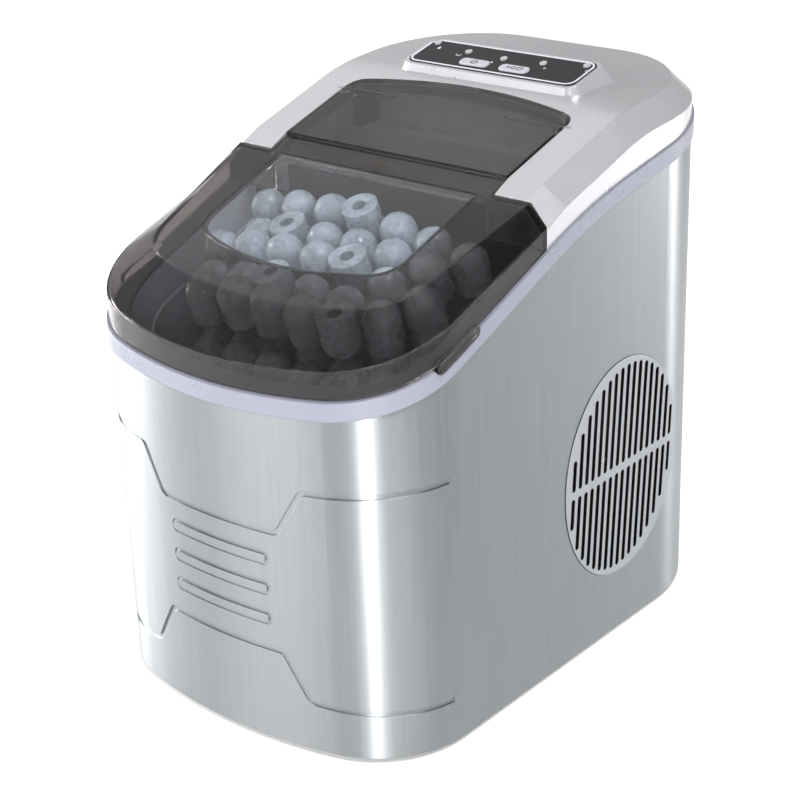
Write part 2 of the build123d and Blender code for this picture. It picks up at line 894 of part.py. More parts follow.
# ---- liner, insulation, basket and ice ----------------------------------------------------------
liner_half = half - trim_inset
guard_z = 287.0
ledge_z = basket_floor_z - thin
ledge_reach = 3.0  # the basket rests this far onto the liner's ledge
hose_x = -50.0
hose_y = tray_y + tray_radius + 6.0
hose_radius = 3.5
compressor_y = hose_y + hose_radius + compressor_to_hose + compressor_radius
pump_y = -60.0
suction_radius = 5.0
evaporator_z = tray_z + evaporator_lift
evaporator_left = tray_left + 2.0
evaporator_right = tray_right - 2.0
stub_left = evaporator_left + 5.0
stub_right = evaporator_right - 5.0
rod_x = liner_half - 18.0
rod_z = shelf_z + sheet + 10.0
rod_radius = 2.0
drain_bore = drain_pipe_radius - 2.0
drain_x = -half + 26.0


def tub(inset, floor, shelf, rear):
    """Closed form of the liner: a deep tank in front and a raised shelf behind it."""
    with BuildPart() as form:
        add(inside(inset, flange_lift))
        add(box(-width, width, -depth, rear, floor, tall), mode=Mode.INTERSECT)
        add(box(-width, width, shelf_y - (inset - liner_inset), depth, 0, shelf), mode=Mode.SUBTRACT)
    return form.part


def basket_ledge():
    """Ledge round the tank that carries the ice basket."""
    with BuildPart() as ledge:
        add(ring(-trim_inset, -basket_inset - ledge_reach, ledge_z, basket_floor_z))
        add(box(-width, width, -depth, basket_rear_y, 0, tall), mode=Mode.INTERSECT)
    return ledge.part


with BuildPart() as inner_liner:
    add(tub(liner_inset, tank_floor_z, shelf_z, liner_rear_y))
    add(tub(trim_inset, tank_floor_z + sheet, shelf_z + sheet, liner_rear_y - sheet), mode=Mode.SUBTRACT)
    add(basket_ledge())
    add(box(-liner_half, liner_half, liner_rear_y - sheet, liner_rear_y, guard_z, tall), mode=Mode.SUBTRACT)
    add(rod((hose_x, hose_y, 0), (0, 0, 1), hose_radius, tall), mode=Mode.SUBTRACT)
    add(rod((hose_x, pump_y, 0), (0, 0, 1), suction_radius, shelf_z), mode=Mode.SUBTRACT)
    add(rod((drain_x, drain_y, 0), (0, 0, 1), drain_pipe_radius, ledge_z), mode=Mode.SUBTRACT)
    for x in (stub_left, stub_right):
        add(rod((x, tray_y, evaporator_z), (0, 1, 0), tube_radius, depth), mode=Mode.SUBTRACT)
    for x in (-rod_x, rod_x):
        add(rod((x, tray_y, rod_z), (0, 1, 0), rod_radius, depth), mode=Mode.SUBTRACT)
inner_liner.part.label = "inner_liner"
export_step(inner_liner.part, "parts/inner_liner.step")

with BuildPart() as liner_insulation:
    add(ring(-sheet, -liner_inset, tank_floor_z + thin, shelf_z))
    split(bisect_by=Plane.XZ.offset(-seam_y), keep=Keep.TOP)
liner_insulation.part.label = "liner_insulation"
export_step(liner_insulation.part, "parts/liner_insulation.step")

basket_wall = 2.0
basket_rim_drop = 6.0
drip_slot = 3.0


def basket_form(inset, floor):
    """Closed form of the ice basket up to its sloping rim."""
    with BuildPart() as form:
        extrude(outline(-basket_inset - inset, floor), amount=tall)
        add(slab_under(trim_line, -basket_rim_drop), mode=Mode.INTERSECT)
        split(bisect_by=Plane.XZ.offset(-basket_rear_y + inset), keep=Keep.TOP)
    return form.part


with BuildPart() as ice_basket:
    add(basket_form(0, basket_floor_z))
    add(basket_form(basket_wall, basket_floor_z + basket_wall), mode=Mode.SUBTRACT)
    with BuildSketch(Plane.XY.offset(basket_floor_z)):
        with Locations((0, (front_y + basket_rear_y) / 2 + basket_inset / 2)):
            with GridLocations(12.0, 30.0, 12, 3):
                SlotOverall(22.0, drip_slot, rotation=90)
    extrude(amount=basket_wall, mode=Mode.SUBTRACT)
    # the rear wall stops at the shelf, so that the ice slides in over it
    add(box(-width, width, basket_rear_y - basket_wall, 0, shelf_z, tall), mode=Mode.SUBTRACT)
ice_basket.part.label = "ice_basket"
export_step(ice_basket.part, "parts/ice_basket.step")


ice_layers = 4
ice_hollow = 8.0
ice_headroom = 7.5  # left free under the lid
ice_spacing = 3.2
ice_sway = 4.0  # degrees, how far the pieces lean out of line
ice_heave = 3.0
ice_crown = 0.0015  # fall of the heap toward the sides, per mm squared
ice_reach = 15.5  # half the span of a leaning piece
ice_pitch = 2 * ice_radius + ice_spacing
hood_lean = degrees(atan(hood_slope))
hood_stretch = sqrt(1 + hood_slope**2)
ice_row_pitch = ice_pitch * sqrt(3) / 2 / hood_stretch


def in_basket(x, y):
    """Whether a ball of ice_reach at x, y clears the basket's walls."""
    margin = basket_inset + basket_wall + ice_reach
    corner_x = half - front_corner
    corner_y = arc_centre_y - sqrt((arc_radius - front_corner) ** 2 - corner_x**2)
    between_sides = abs(x) < half - margin
    behind_front = x**2 + (y - arc_centre_y) ** 2 < (arc_radius - margin) ** 2
    before_corner = y > corner_y or abs(x) < corner_x
    in_corner = (abs(x) - corner_x) ** 2 + (y - corner_y) ** 2 < (front_corner - margin) ** 2
    return between_sides and behind_front and (before_corner or in_corner)


def ice_places():
    """Places and leans of the ice pieces: layers under the slope of the lid, thinner further down."""
    first_row = basket_rear_y - basket_wall - ice_reach - gap
    floor = basket_floor_z + basket_wall + ice_reach + 2.0
    places = []
    for row in range(6):
        y = first_row - row * ice_row_pitch
        for column in range(-3, 4):
            x = (column + row % 2 / 2) * ice_pitch
            turn = 12.9 * column + 78.2 * row
            drop = ice_headroom + ice_length / 2 + ice_heave * (1 + sin(turn))
            top = plane_z(crown_drop, y) - drop * hood_stretch - ice_crown * x**2
            lean = hood_lean + ice_sway * cos(1.7 * turn)
            flipped = 180 if (column + 2 * row) % 5 == 0 else 0
            for layer in range(ice_layers):
                z = top - layer * (ice_length + 2 * ice_heave + ice_spacing) * hood_stretch
                sparse = layer > 1 and (row + column) % 2
                if in_basket(x, y) and z > floor and not sparse:
                    places.append(Location((x, y, z), (lean + flipped, ice_sway * sin(2.3 * turn), 0)))
    return places


def ice_bullet():
    """Bullet of ice with the hollow that the finger leaves, about its own middle."""
    base = -ice_length / 2
    tip = ice_length / 2
    with BuildPart() as bullet:
        with BuildSketch(Plane.XZ):
            with BuildLine():
                Polyline(
                    (0, base + ice_hollow),
                    (finger_radius, base + ice_hollow),
                    (finger_radius, base),
                    (ice_radius, base),
                    (ice_radius, tip - ice_radius),
                )
                RadiusArc((ice_radius, tip - ice_radius), (0, tip), -ice_radius)
                Line((0, tip), (0, base + ice_hollow))
            make_face()
        revolve(axis=Axis.Z)
    return bullet.part


with BuildPart() as ice_pieces:
    bullet = ice_bullet()
    for place in ice_places():
        add(place * bullet)
ice_pieces.part.label = "ice_pieces"
export_step(ice_pieces.part, "parts/ice_pieces.step")

# ---- ice making ---------------------------------------------------------------------------------
bearing_thickness = 8.0
motor_radius = 15.0
motor_right = tray_left - 4.0
shaft_left = -liner_half + 6.0
shaft_right = liner_half - 4.0
hub_radius = 6.0
end_wall = 2.4

with BuildPart() as water_tray:
    with BuildSketch(Plane.YZ.offset(tray_left)):
        with Locations((tray_y, tray_z)):
            Circle(tray_radius)
            with Locations((0, tray_radius)):
                Rectangle(2 * tray_radius, 2 * tray_radius, mode=Mode.SUBTRACT)
    extrude(amount=tray_right - tray_left)
    with BuildSketch(Plane.YZ.offset(tray_left + end_wall)):
        with Locations((tray_y, tray_z)):
            Circle(tray_radius - tray_wall)
    extrude(amount=tray_right - tray_left - 2 * end_wall, mode=Mode.SUBTRACT)
    for start in (tray_left, tray_right - end_wall):
        with BuildSketch(Plane.YZ.offset(start)):
            with Locations((tray_y, tray_z)):
                Circle(hub_radius)
                Circle(tray_shaft_radius, mode=Mode.SUBTRACT)
        extrude(amount=end_wall)
    for start in (tray_left, tray_right - end_wall):
        add(rod((start, tray_y, tray_z), (1, 0, 0), tray_shaft_radius, end_wall), mode=Mode.SUBTRACT)
water_tray.part.label = "water_tray"
export_step(water_tray.part, "parts/water_tray.step")

with BuildPart() as tray_shafts:
    add(rod((shaft_left, tray_y, tray_z), (1, 0, 0), tray_shaft_radius, tray_left + end_wall - shaft_left))
    add(
        rod(
            (tray_right - end_wall, tray_y, tray_z),
            (1, 0, 0),
            tray_shaft_radius,
            shaft_right - tray_right + end_wall,
        )
    )
tray_shafts.part.label = "tray_shafts"
export_step(tray_shafts.part, "parts/tray_shafts.step")

with BuildPart() as tray_motor:
    add(rod((-liner_half, tray_y, tray_z), (1, 0, 0), motor_radius, motor_right + liner_half))
    add(box(-liner_half, motor_right - 8.0, tray_y, tray_y + 24.0, tray_z - 12.0, tray_z + 12.0))
    add(
        rod((shaft_left - 1.0, tray_y, tray_z), (1, 0, 0), tray_shaft_radius + running, width),
        mode=Mode.SUBTRACT,
    )
tray_motor.part.label = "tray_motor"
export_step(tray_motor.part, "parts/tray_motor.step")

with BuildPart() as tray_bearing:
    add(
        box(
            liner_half - bearing_thickness,
            liner_half,
            tray_y - 9.0,
            tray_y + 9.0,
            tray_z - 9.0,
            tray_z + 9.0,
        )
    )
    add(
        rod((0, tray_y, tray_z), (1, 0, 0), tray_shaft_radius + running, shaft_right + 1.0),
        mode=Mode.SUBTRACT,
    )
tray_bearing.part.label = "tray_bearing"
export_step(tray_bearing.part, "parts/tray_bearing.step")

with BuildPart() as evaporator:
    add(
        rod(
            (evaporator_left, tray_y, evaporator_z),
            (1, 0, 0),
            evaporator_radius,
            evaporator_right - evaporator_left,
        )
    )
    middle = (evaporator_left + evaporator_right) / 2
    for index in range(finger_count):
        x = middle + (index - (finger_count - 1) / 2) * finger_pitch
        add(rod((x, tray_y, evaporator_z), (0, 0, -1), finger_radius, finger_drop))
    for x in (stub_left, stub_right):
        add(rod((x, tray_y, evaporator_z), (0, 1, 0), tube_radius, 18.0))
    fillet(evaporator.faces().sort_by(Axis.Z)[:finger_count].edges(), 1.5)
evaporator.part.label = "evaporator"
export_step(evaporator.part, "parts/evaporator.step")

pusher_half = liner_half - 6.0
pusher_thickness = 4.0

with BuildPart() as ice_pusher:
    add(
        box(
            -pusher_half,
            pusher_half,
            pusher_y,
            pusher_y + pusher_thickness,
            shelf_z + sheet + gap,
            tray_z - tray_radius - 4.0,
        )
    )
    for x in (-rod_x, rod_x):
        add(rod((x, pusher_y, rod_z), (0, 1, 0), 5.0, 16.0))
    for x in (-rod_x, rod_x):
        add(rod((x, pusher_y - 1, rod_z), (0, 1, 0), rod_radius + running, depth), mode=Mode.SUBTRACT)
ice_pusher.part.label = "ice_pusher"
export_step(ice_pusher.part, "parts/ice_pusher.step")

with BuildPart() as pusher_rods:
    for x in (-rod_x, rod_x):
        add(rod((x, shelf_y + 1.0, rod_z), (0, 1, 0), rod_radius, liner_rear_y - shelf_y - 1.0))
pusher_rods.part.label = "pusher_rods"
export_step(pusher_rods.part, "parts/pusher_rods.step")

with BuildPart() as splash_guard:
    add(box(-tongue_half_width, tongue_half_width, liner_rear_y - sheet, 74.0, guard_z, guard_z + sheet))
    add(box(-tongue_half_width, tongue_half_width, 72.0, 74.0, guard_z, tall))
    add(top_form(skin), mode=Mode.INTERSECT)
splash_guard.part.label = "splash_guard"
export_step(splash_guard.part, "parts/splash_guard.step")

curtain_y = -20.0
curtain_low_z = 226.0
curtain_side_z = 266.0
curtain_high_z = 284.0
curtain_top_half = tongue_half_width - 2 * skin

with BuildPart() as splash_curtain:
    curtain_rear = curtain_y + sheet
    add(box(-liner_half, liner_half, curtain_y, curtain_rear, curtain_low_z, curtain_side_z))
    add(box(-curtain_top_half, curtain_top_half, curtain_y, curtain_rear, curtain_side_z, curtain_high_z))
splash_curtain.part.label = "splash_curtain"
export_step(splash_curtain.part, "parts/splash_curtain.step")

sensor_y = -62.0
sensor_z = trim_z(sensor_y) - 16.0

with BuildPart() as ice_sensors:
    for side in (-1, 1):
        add(rod((side * liner_half, sensor_y, sensor_z), (-side, 0, 0), 5.0, 4.0))
        add(rod((side * (liner_half - 4.0), sensor_y, sensor_z), (-side, 0, 0), 2.5, 2.0))
ice_sensors.part.label = "ice_sensors"
export_step(ice_sensors.part, "parts/ice_sensors.step")

# water level float on its stem
float_x = 70.0
float_y = -45.0
float_stem_radius = 3.0
float_radius = 8.0
float_height = 14.0
float_low_z = 84.0
stem_top_z = 118.0

with BuildPart() as float_stem:
    stem_length = stem_top_z - tank_floor_z
    add(rod((float_x, float_y, tank_floor_z + sheet), (0, 0, 1), float_stem_radius, stem_length))
    add(rod((float_x, float_y, tank_floor_z + sheet), (0, 0, 1), 6.0, 4.0))
    add(rod((float_x, float_y, stem_top_z), (0, 0, 1), 5.0, 2.0))
float_stem.part.label = "float_stem"
export_step(float_stem.part, "parts/float_stem.step")

with BuildPart() as level_float:
    add(rod((float_x, float_y, float_low_z), (0, 0, 1), float_radius, float_height))
    add(
        rod((float_x, float_y, float_low_z - 1), (0, 0, 1), float_stem_radius + running, float_height + 2),
        mode=Mode.SUBTRACT,
    )
level_float.part.label = "level_float"
export_step(level_float.part, "parts/level_float.step")

# ---- water --------------------------------------------------------------------------------------
pump_height = 30.0
pump_outlet_z = floor_z + 16.0

with BuildPart() as water_pump:
    add(box(hose_x - 20.0, hose_x + 20.0, pump_y - 18.0, pump_y + 18.0, floor_z, floor_z + pump_height))
    fillet(water_pump.edges().filter_by(Axis.Z), 6.0)
    add(
        rod(
            (hose_x, pump_y, floor_z + pump_height),
            (0, 0, 1),
            suction_radius,
            tank_floor_z + sheet - floor_z - pump_height,
        )
    )
    add(rod((hose_x, pump_y + 18.0, pump_outlet_z), (0, 1, 0), hose_radius, 4.0))
water_pump.part.label = "water_pump"
export_step(water_pump.part, "parts/water_pump.step")

with BuildPart() as pump_hose:
    add(
        tube(
            [
                (hose_x, pump_y + 22.0, pump_outlet_z),
                (hose_x, hose_y, pump_outlet_z),
                (hose_x, hose_y, evaporator_z + 5.0),
                (hose_x, tray_y + tray_radius - 4.0, evaporator_z + 5.0),
            ],
            hose_radius,
            8.0,
        )
    )
pump_hose.part.label = "pump_hose"
export_step(pump_hose.part, "parts/pump_hose.step")

drain_points = [
    (drain_x, drain_y, tank_floor_z + sheet),
    (drain_x, drain_y, drain_z),
    (-half + sheet, drain_y, drain_z),
]

with BuildPart() as drain_pipe:
    add(tube(drain_points, drain_pipe_radius, 10.0))
    add(tube(drain_points, drain_bore, 10.0), mode=Mode.SUBTRACT)
drain_pipe.part.label = "drain_pipe"
export_step(drain_pipe.part, "parts/drain_pipe.step")

cap_face_x = -half - 1.2
cap_thickness = 2.0

with BuildPart() as drain_cap:
    add(rod((cap_face_x, drain_y, drain_z), (1, 0, 0), drain_cap_radius, cap_thickness))
    add(rod((cap_face_x, drain_y, drain_z), (1, 0, 0), drain_bore - running, 14.0))
    add(
        box(
            cap_face_x,
            cap_face_x + 0.9,
            drain_y - drain_cap_radius + 3.0,
            drain_y + drain_cap_radius - 3.0,
            drain_z - 1.5,
            drain_z + 1.5,
        ),
        mode=Mode.SUBTRACT,
    )
drain_cap.part.label = "drain_cap"
export_step(drain_cap.part, "parts/drain_cap.step")

with BuildPart() as drain_seal:
    add(
        rod(
            (cap_face_x + cap_thickness, drain_y, drain_z),
            (1, 0, 0),
            drain_pipe_radius,
            -half + sheet - cap_face_x - cap_thickness,
        )
    )
    add(rod((-width, drain_y, drain_z), (1, 0, 0), drain_bore - running, width), mode=Mode.SUBTRACT)
drain_seal.part.label = "drain_seal"
export_step(drain_seal.part, "parts/drain_seal.step")

# ---- cold circuit -------------------------------------------------------------------------------
grommet_height = 8.0
grommet_radius = 8.0
bolt_radius = 3.0
plate_z = floor_z + grommet_height
body_z = plate_z + thin
compressor_top_z = body_z + compressor_height
mount_pitch = (86.0, 62.0)

with BuildPart() as compressor:
    with BuildSketch(Plane.XY.offset(plate_z)):
        with Locations((compressor_x, compressor_y)):
            RectangleRounded(mount_pitch[0] + 20.0, mount_pitch[1] + 18.0, 8.0)
            with GridLocations(*mount_pitch, 2, 2):
                Circle(bolt_radius, mode=Mode.SUBTRACT)
    extrude(amount=thin)
    with BuildSketch(Plane.XY.offset(body_z)) as shell_plan:
        with Locations((compressor_x, compressor_y)):
            Circle(compressor_radius)
    extrude(amount=compressor_height)
    fillet(compressor.edges().filter_by(GeomType.CIRCLE).group_by(Axis.Z)[-1], 18.0)
    with BuildSketch(Plane.XY.offset(body_z + compressor_height / 2)):
        with Locations((compressor_x, compressor_y)):
            Circle(compressor_radius + 2.0)
    extrude(amount=thin)
compressor.part.label = "compressor"
export_step(compressor.part, "parts/compressor.step")

with BuildPart() as compressor_grommets:
    with BuildSketch(Plane.XY.offset(floor_z)):
        with Locations((compressor_x, compressor_y)):
            with GridLocations(*mount_pitch, 2, 2):
                Circle(grommet_radius)
                Circle(bolt_radius, mode=Mode.SUBTRACT)
    extrude(amount=grommet_height)
compressor_grommets.part.label = "compressor_grommets"
export_step(compressor_grommets.part, "parts/compressor_grommets.step")

with BuildPart() as compressor_bolts:
    with BuildSketch(Plane.XY.offset(floor_z)):
        with Locations((compressor_x, compressor_y)):
            with GridLocations(*mount_pitch, 2, 2):
                Circle(bolt_radius)
    extrude(amount=grommet_height + 2 * thin)
    with BuildSketch(Plane.XY.offset(body_z)):
        with Locations((compressor_x, compressor_y)):
            with GridLocations(*mount_pitch, 2, 2):
                RegularPolygon(5.0, 6)
    extrude(amount=thin)
compressor_bolts.part.label = "compressor_bolts"
export_step(compressor_bolts.part, "parts/compressor_bolts.step")

with BuildPart() as terminal_cover:
    add(
        box(
            compressor_x + compressor_radius - 8.0,
            compressor_x + compressor_radius + 12.0,
            compressor_y - 16.0,
            compressor_y + 16.0,
            body_z + 20.0,
            body_z + 50.0,
        )
    )
    fillet(terminal_cover.edges().filter_by(Axis.Z), 3.0)
    add(
        rod((compressor_x, compressor_y, 0), (0, 0, 1), compressor_radius, tall),
        mode=Mode.SUBTRACT,
    )
terminal_cover.part.label = "terminal_cover"
export_step(terminal_cover.part, "parts/terminal_cover.step")

condenser_front = grille_y - 50.0
condenser_rear = grille_y + 50.0
condenser_low = 20.0
run_pitch = 26.0
run_count = 6
run_reach = 5.0
condenser_top = condenser_low + (run_count - 1) * run_pitch


def serpentine():
    """Points of the condenser's tube, run by run from the bottom up."""
    points = []
    for index in range(run_count):
        z = condenser_low + index * run_pitch
        ends = [condenser_rear + run_reach, condenser_front - run_reach]
        if index % 2:
            ends.reverse()
        points += [(condenser_x, y, z) for y in ends]
    return points


with BuildPart() as condenser:
    add(tube(serpentine(), tube_radius, run_pitch / 2 - 1.0))
    fin_pitch = (condenser_rear - condenser_front) / (fin_count - 1)
    for index in range(fin_count):
        y = condenser_front + index * fin_pitch
        add(
            box(
                condenser_x - condenser_thickness / 2,
                condenser_x + condenser_thickness / 2,
                y - 0.5,
                y + 0.5,
                floor_z,
                condenser_top + 10.0,
            )
        )
condenser.part.label = "condenser"
export_step(condenser.part, "parts/condenser.step")

drier_x = 20.0
drier_y = 132.0
drier_radius = 9.0
drier_low = 40.0
drier_high = 96.0
valve_low = 112.0
valve_high = 146.0

with BuildPart() as filter_drier:
    add(rod((drier_x, drier_y, drier_low), (0, 0, 1), drier_radius, drier_high - drier_low))
    fillet(filter_drier.edges().filter_by(GeomType.CIRCLE), 4.0)
filter_drier.part.label = "filter_drier"
export_step(filter_drier.part, "parts/filter_drier.step")

with BuildPart() as hot_gas_valve:
    add(rod((drier_x, drier_y, valve_low), (0, 0, 1), 6.0, valve_high - valve_low))
    add(box(drier_x - 11, drier_x + 11, drier_y - 10, drier_y + 10, valve_low + 6, valve_high - 8))
    fillet(hot_gas_valve.edges().filter_by(Axis.Z), 2.0)
hot_gas_valve.part.label = "hot_gas_valve"
export_step(hot_gas_valve.part, "parts/hot_gas_valve.step")

with BuildPart() as capillary:
    add(rod((drier_x, drier_y, drier_high), (0, 0, 1), 1.5, valve_low - drier_high))
capillary.part.label = "capillary"
export_step(capillary.part, "parts/capillary.step")

with BuildPart() as liquid_line:
    add(
        tube(
            [
                (condenser_x, condenser_rear + run_reach, condenser_low),
                (condenser_x, drier_y, condenser_low),
                (drier_x, drier_y, condenser_low),
                (drier_x, drier_y, drier_low),
            ],
            bend=12.0,
        )
    )
liquid_line.part.label = "liquid_line"
export_step(liquid_line.part, "parts/liquid_line.step")

discharge_x = compressor_x + 18.0
discharge_y = compressor_y + 12.0
crossing_z = compressor_top_z + 36.0

with BuildPart() as discharge_line:
    add(
        tube(
            [
                (discharge_x, discharge_y, compressor_top_z),
                (discharge_x, discharge_y, crossing_z),
                (condenser_x, discharge_y + 8.0, crossing_z),
                (condenser_x, discharge_y + 8.0, condenser_top),
                (condenser_x, condenser_rear + run_reach, condenser_top),
            ],
            bend=7.0,
        )
    )
discharge_line.part.label = "discharge_line"
export_step(discharge_line.part, "parts/discharge_line.step")

with BuildPart() as feed_line:
    add(
        tube(
            [
                (drier_x, drier_y, valve_high),
                (drier_x, drier_y, evaporator_z),
                (stub_left, drier_y, evaporator_z),
                (stub_left, tray_y + 18.0, evaporator_z),
            ]
        )
    )
feed_line.part.label = "feed_line"
export_step(feed_line.part, "parts/feed_line.step")

suction_x = compressor_x - 20.0

with BuildPart() as suction_line:
    add(
        tube(
            [
                (stub_right, tray_y + 18.0, evaporator_z),
                (stub_right, compressor_y, evaporator_z),
                (stub_right, compressor_y, crossing_z + 20.0),
                (suction_x, compressor_y, crossing_z + 20.0),
                (suction_x, compressor_y, compressor_top_z),
            ]
        )
    )
suction_line.part.label = "suction_line"
export_step(suction_line.part, "parts/suction_line.step")

# ---- air ----------------------------------------------------------------------------------------
shroud_x = condenser_x + condenser_thickness / 2 + 3.0
shroud_thickness = 2.0
fan_clearance = 2.5
motor_x = shroud_x + shroud_thickness
fan_motor_radius = 17.0
fan_motor_length = 20.0
fan_shaft_radius = 2.0
hub_length = 16.0
blade_count = 5
blade_pitch = 32.0

with BuildPart() as fan_shroud:
    with BuildSketch(Plane.YZ.offset(shroud_x)):
        with Locations((grille_y, (floor_z + grille_z + shroud_half) / 2)):
            Rectangle(2 * shroud_half, grille_z + shroud_half - floor_z)
        with Locations((grille_y, grille_z)):
            Circle(fan_radius + fan_clearance, mode=Mode.SUBTRACT)
            Circle(fan_motor_radius)
            with PolarLocations(0, 4, start_angle=45):
                with Locations((fan_radius / 2, 0)):
                    Rectangle(fan_radius + 8.0, 5.0)
    extrude(amount=shroud_thickness)
    with BuildSketch(Plane.YZ.offset(motor_x)):
        with Locations((grille_y, grille_z)):
            Circle(fan_radius + fan_clearance + sheet)
            Circle(fan_radius + fan_clearance, mode=Mode.SUBTRACT)
    extrude(amount=fan_x + hub_length / 2 - motor_x)
fan_shroud.part.label = "fan_shroud"
export_step(fan_shroud.part, "parts/fan_shroud.step")

with BuildPart() as fan_motor:
    add(rod((motor_x, grille_y, grille_z), (1, 0, 0), fan_motor_radius, fan_motor_length))
    fillet(fan_motor.edges().filter_by(GeomType.CIRCLE).group_by(Axis.X)[-1], 3.0)
    add(
        rod((motor_x + 3.0, grille_y, grille_z), (1, 0, 0), fan_shaft_radius + running, width),
        mode=Mode.SUBTRACT,
    )
fan_motor.part.label = "fan_motor"
export_step(fan_motor.part, "parts/fan_motor.step")

with BuildPart() as fan_shaft:
    add(
        rod(
            (motor_x + 4.0, grille_y, grille_z),
            (1, 0, 0),
            fan_shaft_radius,
            fan_x + hub_length / 2 - motor_x - 4.0,
        )
    )
fan_shaft.part.label = "fan_shaft"
export_step(fan_shaft.part, "parts/fan_shaft.step")


def fan_wing():
    """One pitched blade, pointing along +Z from the hub."""
    with BuildPart() as wing:
        with BuildSketch(Plane.XY.offset(8.0)):
            Rectangle(1.8, 24.0)
        with BuildSketch(Plane.XY.offset(fan_radius - 2.0)):
            Rectangle(1.8, 30.0)
        loft()
    return Rot(Z=-blade_pitch) * wing.part


with BuildPart() as fan_blade:
    add(rod((fan_x - hub_length / 2, grille_y, grille_z), (1, 0, 0), 11.0, hub_length))
    for index in range(blade_count):
        turn = Location((fan_x, grille_y, grille_z)) * Rot(X=index * 360.0 / blade_count)
        add(turn * fan_wing())
    add(
        rod((0, grille_y, grille_z), (1, 0, 0), fan_shaft_radius, width),
        mode=Mode.SUBTRACT,
    )
fan_blade.part.label = "fan_blade"
export_step(fan_blade.part, "parts/fan_blade.step")

# ---- electrics ----------------------------------------------------------------------------------
board_y = rear_y - sheet - 10.0
board_low = 188.0
board_high = 268.0
board_width = 62.0

with BuildPart() as main_board:
    add(box(-board_width / 2, board_width / 2, board_y - 1.6, board_y, board_low, board_high))
    add(box(-26.0, -2.0, board_y - 22.0, board_y - 1.6, board_low + 8, board_low + 30))
    add(box(4.0, 22.0, board_y - 18.0, board_y - 1.6, board_low + 8, board_low + 24))
    for x in (-20.0, -6.0, 8.0):
        add(rod((x, board_y - 1.6, board_high - 20), (0, -1, 0), 5.0, 16.0))
    add(box(-28.0, 28.0, board_y - 8.0, board_y - 1.6, board_low + 36, board_low + 44))
main_board.part.label = "main_board"
export_step(main_board.part, "parts/main_board.step")

with BuildPart() as board_standoffs:
    with BuildSketch(Plane.XZ.offset(-board_y)):
        with Locations((0, (board_low + board_high) / 2)):
            with GridLocations(board_width - 10, board_high - board_low - 10, 2, 2):
                Circle(3.0)
    extrude(amount=-(rear_y - sheet - board_y))
board_standoffs.part.label = "board_standoffs"
export_step(board_standoffs.part, "parts/board_standoffs.step")

inlet_depth = 20.0
inlet_cavity = (23.0, 15.5, 15.0)
inlet_pins = [(0, 3.5), (-7.0, -1.5), (7.0, -1.5)]

with BuildPart() as power_inlet:
    with BuildSketch(Plane.XZ.offset(-rear_y)):
        with Locations((inlet_x, inlet_z)):
            RectangleRounded(inlet_width - 2 * running, inlet_height - 2 * running, 3.0 - running)
    extrude(amount=inlet_depth)
    with BuildSketch(Plane.XZ.offset(-rear_y)):
        with Locations((inlet_x, inlet_z)):
            RectangleRounded(inlet_width + 6.0, inlet_height + 6.0, 4.0)
    extrude(amount=-1.2)
    with BuildSketch(Plane.XZ.offset(-rear_y - 1.2)):
        with Locations((inlet_x, inlet_z)):
            RectangleRounded(inlet_cavity[0], inlet_cavity[1], 3.0)
    extrude(amount=inlet_cavity[2], mode=Mode.SUBTRACT)
    with BuildSketch(Plane.XZ.offset(-rear_y + inlet_cavity[2])):
        with Locations((inlet_x, inlet_z)):
            with Locations(*inlet_pins):
                Rectangle(2.0, 4.0)
    extrude(amount=-(inlet_cavity[2] - 4.0))
power_inlet.part.label = "power_inlet"
export_step(power_inlet.part, "parts/power_inlet.step")

with BuildPart() as cover_screws:
    with BuildSketch(Plane.XZ.offset(-rear_y)):
        with Locations((0, screw_z)):
            with GridLocations(2 * screw_pitch, 1, 2, 1):
                Circle(screw_radius)
    extrude(amount=screw_length)
    with BuildSketch(Plane.XZ.offset(-rear_y)):
        with Locations((0, screw_z)):
            with GridLocations(2 * screw_pitch, 1, 2, 1):
                Circle(screw_head_radius)
    extrude(amount=-screw_head)
    for x in (-screw_pitch, screw_pitch):
        for size in ((3.6, 0.9), (0.9, 3.6)):
            with BuildSketch(Plane.XZ.offset(-rear_y - 0.5)):
                with Locations((x, screw_z)):
                    Rectangle(*size)
            extrude(amount=-screw_head, mode=Mode.SUBTRACT)
cover_screws.part.label = "cover_screws"
export_step(cover_screws.part, "parts/cover_screws.step")
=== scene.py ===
"""Looks of the countertop ice maker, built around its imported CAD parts. All sizes are in metres."""

import json
import math

import bmesh
import bpy
from mathutils import Matrix, Vector


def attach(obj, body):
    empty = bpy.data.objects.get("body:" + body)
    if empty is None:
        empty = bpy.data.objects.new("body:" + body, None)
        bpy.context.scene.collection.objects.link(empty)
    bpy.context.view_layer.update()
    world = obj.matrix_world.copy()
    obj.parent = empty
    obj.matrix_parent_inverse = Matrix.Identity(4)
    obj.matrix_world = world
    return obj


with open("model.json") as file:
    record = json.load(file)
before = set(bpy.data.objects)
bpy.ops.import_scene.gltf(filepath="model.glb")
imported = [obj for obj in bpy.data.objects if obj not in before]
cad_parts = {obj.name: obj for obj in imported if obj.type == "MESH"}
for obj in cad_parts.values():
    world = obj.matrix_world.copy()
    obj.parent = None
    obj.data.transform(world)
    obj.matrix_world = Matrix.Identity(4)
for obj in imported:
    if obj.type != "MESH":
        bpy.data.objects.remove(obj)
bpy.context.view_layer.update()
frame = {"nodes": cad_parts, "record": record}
nodes = frame["nodes"]
slot_of = {row["node"]: row["material_slot"] for row in frame["record"]["subparts"]}
MM = 0.001


